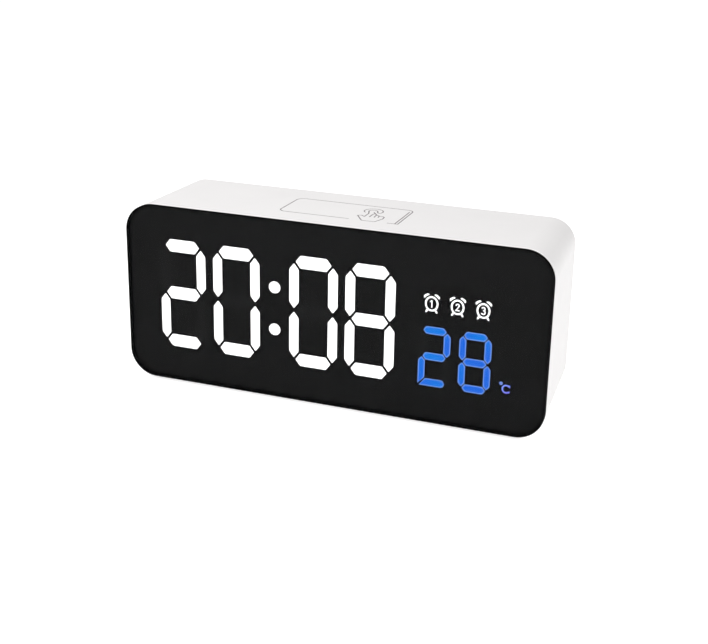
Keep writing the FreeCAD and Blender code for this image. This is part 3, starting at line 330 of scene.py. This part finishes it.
FINISHES = {
    "black_film": film_black(),
    "black_tape": tape_black(),
    "white_abs": moulded("shell_plastic", (0.83, 0.815, 0.812), 0.35 * MM, 0.004 * MM, 0.38, 0.46),
    "cover_abs": moulded("cover_plastic", (0.81, 0.797, 0.793), 0.5 * MM, 0.012 * MM, 0.5, 0.6),
    "button_abs": moulded("key_plastic", (0.8, 0.79, 0.785), 0.3 * MM, 0.002 * MM, 0.22, 0.3,
                          Coat_Weight=0.15),
    "door_abs": moulded("door_plastic", (0.81, 0.797, 0.793), 0.5 * MM, 0.012 * MM, 0.5, 0.6),
    "reflector_white": moulded("reflector_plastic", (0.82, 0.82, 0.8), 0.5 * MM, 0.006 * MM, 0.55, 0.65),
    "glow_white": white_diffuser(),
    "glow_blue": unit_sign(),
    "diffuser_unlit": diffuser_unlit(),
    "board_green": circuit_board(),
    "lamp_white": lamp("lamp_white", (0.85, 0.66, 0.12), (0.85, 0.83, 0.76)),
    "lamp_blue": lamp("lamp_blue", (0.55, 0.68, 0.95), (0.83, 0.86, 0.9)),
    "epoxy_black": chip_epoxy("chip_epoxy", 0.55, 0.7),
    "tinned_metal": metal("tinned_metal", (0.72, 0.72, 0.72), 0.25, 0.4),
    "nickel": metal("nickel", (0.72, 0.69, 0.62), 0.16, 0.3, (0.1, 1, 1)),
    "steel": metal("steel", (0.56, 0.56, 0.57), 0.25, 0.4),
    "copper": metal("copper", (0.8, 0.4, 0.22), 0.3, 0.45, (1, 0.1, 1)),
    "print_grey": screen_print(),
    "connector_nylon": moulded("connector_nylon", (0.78, 0.75, 0.65), 0.3 * MM, 0.006 * MM, 0.45, 0.6),
    "ribbon_grey": flat_ribbon(),
    "capacitor_sleeve": capacitor_sleeve(),
    "switch_black": moulded("switch_plastic", (0.025, 0.025, 0.026), 0.3 * MM, 0.006 * MM, 0.35, 0.5),
    "bead_epoxy": chip_epoxy("bead_epoxy", 0.12, 0.22),
    "cell_jacket": cell_jacket(),
    "speaker_paper": speaker_paper(),
    "speaker_foam": foam(),
    "magnet_grey": ferrite(),
    "foot_rubber": foot_rubber(),
    "wire_red": wire_sleeve("wire_red", (0.45, 0.012, 0.01)),
    "wire_black": wire_sleeve("wire_black", (0.015, 0.015, 0.015)),
}
for part in frame["record"]["subparts"]:
    if part["material_slot"] in FINISHES:       # the panel's own slot is met by mirror_front, below
        nodes[part["node"]].material_slots[0].material = FINISHES[part["material_slot"]].material


# ---- pieces that replace a CAD node ----

def opened_copy(node, name):
    """A new piece with a copy of the node's mesh, and that mesh open for editing."""
    piece = bpy.data.objects.new(name, nodes[node].data.copy())
    bpy.context.scene.collection.objects.link(piece)
    mesh = bmesh.new()
    mesh.from_mesh(piece.data)
    return piece, mesh


def put_in_place(piece, mesh, node):
    """Closes the edited mesh; the piece moves with the housing and stands for the node."""
    mesh.to_mesh(piece.data)
    mesh.free()
    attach(piece, "housing")
    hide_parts(node)


# ---- the mirror front ----

BORDER_WIDTH = 0.9 * MM     # black paint on the panel's back, around its whole outline
BACK_GAP = 0.02 * MM        # air between the panel's back and the film behind it
FACE, EDGE, BREAK = range(3)    # places of the panel's finishes in its list of materials
SQUARE_ON = 0.95            # the front and back are the faces whose normals lie this much along Y
SIDEWAYS = 0.3              # and the edge is those that lie less than this much


def panel_finishes():
    """Smoked face that lets the segments through, blacked edge, and the thin polished edge break."""
    face = Finish("panel_face", (0.004, 0.004, 0.0042), 0.05, Alpha=0.15, IOR=1.33)
    face.mottle(0.1, 20 * MM).rough(0.03, 0.07, 16 * MM)
    edge = Finish("panel_edge", (0.0015, 0.0015, 0.0015), 0.5, Specular_IOR_Level=0.0)
    edge.mottle(0.4, 0.5 * MM)
    bevel = Finish("panel_break", (0.002, 0.002, 0.002), 0.2, Specular_IOR_Level=0.1)
    bevel.mottle(0.2, 2 * MM).rough(0.15, 0.3, 1.5 * MM)
    return face, edge, bevel


def mirror_front():
    """The panel as one piece: a finish for each kind of face, and a painted border on its back."""
    piece, mesh = opened_copy("mirror_panel", "mirror_front")
    piece.data.materials.clear()
    for finish in panel_finishes():
        piece.data.materials.append(finish.material)
    for face in mesh.faces:
        facing = abs(face.normal.y)
        face.material_index = FACE if facing > SQUARE_ON else EDGE if facing < SIDEWAYS else BREAK
    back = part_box("mirror_panel")[1].y
    behind = [f for f in mesh.faces if min(v.co.y for v in f.verts) > back - ON_PLANE]
    behind = bmesh.ops.dissolve_faces(mesh, faces=behind)["region"]
    border = bmesh.ops.inset_region(mesh, faces=behind, thickness=BORDER_WIDTH, use_boundary=True)["faces"]
    for face in border:
        face.material_index = EDGE
    for vertex in mesh.verts:
        if vertex.co.y > back - ON_PLANE:
            vertex.co.y = back - BACK_GAP
    put_in_place(piece, mesh, "mirror_panel")


mirror_front()


# ---- the lit figures ----

BLUE_RIM = 0.38 * MM        # width of the paler border painted on each blue bar as an edge glow, where the bar meets its light well
WHITE_RIM = 0.17 * MM       # width of the shaded border of a white bar


def blue_diffuser():
    """Blue diffuser: each bar has its own depth of blue, and a paler border that is a painted edge glow."""
    finish = Finish("blue_glow", (0.002, 0.01, 0.06), 0.45, Specular_IOR_Level=0.1)
    depth = finish.ramp(finish.noise(11 * MM, 0.0), (0.38, (0.01, 0.14, 0.77)), (0.62, (0.0, 0.2, 0.8)))
    rim = finish.node("ShaderNodeAttribute", attribute_name="rim").outputs["Fac"]
    # the rim's paler blue is a painted edge glow of light, not a colour of the bar
    lit = finish.mix(rim, depth, (0.2, 0.385, 0.96))
    return finish.glow(finish.mix(finish.facing_front(), UNLIT, lit), strength=1.25)


def bordered(mesh, face, rim_layer, steps):
    """Splits a bar's front face into rings and a core; steps are (inset, share of border) pairs."""
    corners = list(face.verts)
    low = Vector((min(v.co.x for v in corners), 0, min(v.co.z for v in corners)))
    high = Vector((max(v.co.x for v in corners), 0, max(v.co.z for v in corners)))
    middle, half = (low + high) / 2, (high - low) / 2
    mesh.faces.remove(face)
    outer = corners
    for inset, share in steps:
        ring = []
        for corner in corners:
            x = middle.x + (corner.co.x - middle.x) * (1 - inset / half.x)
            z = middle.z + (corner.co.z - middle.z) * (1 - inset / half.z)
            made = mesh.verts.new((x, corner.co.y, z))
            made[rim_layer] = share
            ring.append(made)
        for i in range(len(ring)):
            j = (i + 1) % len(ring)
            mesh.faces.new((outer[i], outer[j], ring[j], ring[i]))
        outer = ring
    mesh.faces.new(outer)


def lit_figures(node, name, finish, steps):
    """The lit bars, each with a border on its front."""
    piece, mesh = opened_copy(node, name)
    piece.data.materials[0] = finish.material
    rim_layer = mesh.verts.layers.float.new("rim")
    for vertex in mesh.verts:
        vertex[rim_layer] = 1.0
    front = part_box(node)[0].y
    facing = [f for f in mesh.faces if max(v.co.y for v in f.verts) < front + ON_PLANE]
    for face in bmesh.ops.dissolve_faces(mesh, faces=facing)["region"]:
        bordered(mesh, face, rim_layer, steps)
    put_in_place(piece, mesh, node)


lit_figures("temperature_segments_lit", "blue_figures", blue_diffuser(),
            ((0.7 * BLUE_RIM, 1.0), (BLUE_RIM, 0.0)))
lit_figures("time_segments_lit", "white_figures", FINISHES["glow_white"],
            ((WHITE_RIM, 1.0), (1.1 * WHITE_RIM, 0.0)))


# ---- studio ----

FLOOR_HALF = 6              # half the floor's side


def studio_floor():
    """Pale floor, lit a little from within so that it runs out to white."""
    floor = bpy.data.meshes.new("studio_floor")
    made = bmesh.new()
    bmesh.ops.create_grid(made, x_segments=1, y_segments=1, size=FLOOR_HALF)
    made.to_mesh(floor)
    made.free()
    piece = bpy.data.objects.new("studio_floor", floor)
    bpy.context.scene.collection.objects.link(piece)
    finish = Finish("studio_floor", (0.9, 0.9, 0.9), 0.9)
    finish.mottle(0.01, 0.4).glow((1, 1, 1), strength=0.5)
    floor.materials.append(finish.material)


def soft_light(name, power, size, place, towards):
    """A square diffusing panel, out of sight of glossy reflections."""
    light = bpy.data.lights.new(name, "AREA")
    light.size = size
    light.energy = power
    lamp_object = bpy.data.objects.new(name, light)
    lamp_object.location = place
    lamp_object.rotation_euler = (Vector(towards) - Vector(place)).to_track_quat("-Z", "Y").to_euler()
    lamp_object.visible_glossy = False
    bpy.context.scene.collection.objects.link(lamp_object)


def studio_air(strength):
    """Even white light from all round."""
    world = bpy.data.worlds.new("studio_air")
    world.use_nodes = True
    background = world.node_tree.nodes["Background"]
    background.inputs["Color"].default_value = (1, 1, 1, 1)
    background.inputs["Strength"].default_value = strength
    bpy.context.scene.world = world


studio_floor()
studio_air(0.61)
soft_light("key", power=4.2, size=0.5, place=(0, -0.69, 0.42), towards=(0, 0, 0.03))
soft_light("overhead", power=0.5, size=0.3, place=(-0.22, 0, 0.45), towards=(0, 0, 0.07))
soft_light("fill", power=0.12, size=0.4, place=(0.42, -0.1, 0.42), towards=(0.08, 0, 0.06))
bpy.context.scene.view_settings.view_transform = "Standard"


# ---- camera ----

VIEW_AZIMUTH = 19.44        # degrees that the camera stands to the right of the face's axis
VIEW_ELEVATION = 17.58      # degrees above the level
VIEW_ROLL = 1.08            # degrees about the camera's axis
VIEW_DISTANCE = 0.4282      # metres from the middle of the face, along the camera's axis
VIEW_ASIDE = 0.01025        # how far that axis passes beside the middle of the face
VIEW_ABOVE = 0.02499        # and how far above it
VIEW_LENS = 59.32           # focal length in millimetres, for a sensor of the next line's width
VIEW_SENSOR = 36
VIEW_SHIFT = -0.1017        # share of the picture's width


def camera():
    """The photograph's viewpoint, measured from the middle of the mirror front's face."""
    low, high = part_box("mirror_panel")
    target = Vector((0, low.y, (low.z + high.z) / 2))
    turn = (Matrix.Rotation(math.radians(VIEW_AZIMUTH), 3, "Z")
            @ Matrix.Rotation(math.radians(90 - VIEW_ELEVATION), 3, "X")
            @ Matrix.Rotation(math.radians(VIEW_ROLL), 3, "Z"))
    data = bpy.data.cameras.new("camera")
    data.sensor_width = VIEW_SENSOR
    data.lens = VIEW_LENS
    data.shift_y = VIEW_SHIFT
    data.clip_start = 0.01
    made = bpy.data.objects.new("camera", data)
    place = target + turn @ Vector((VIEW_ASIDE, VIEW_ABOVE, VIEW_DISTANCE))
    made.matrix_world = Matrix.Translation(place) @ turn.to_4x4()
    bpy.context.scene.collection.objects.link(made)
    bpy.context.scene.camera = made


camera()
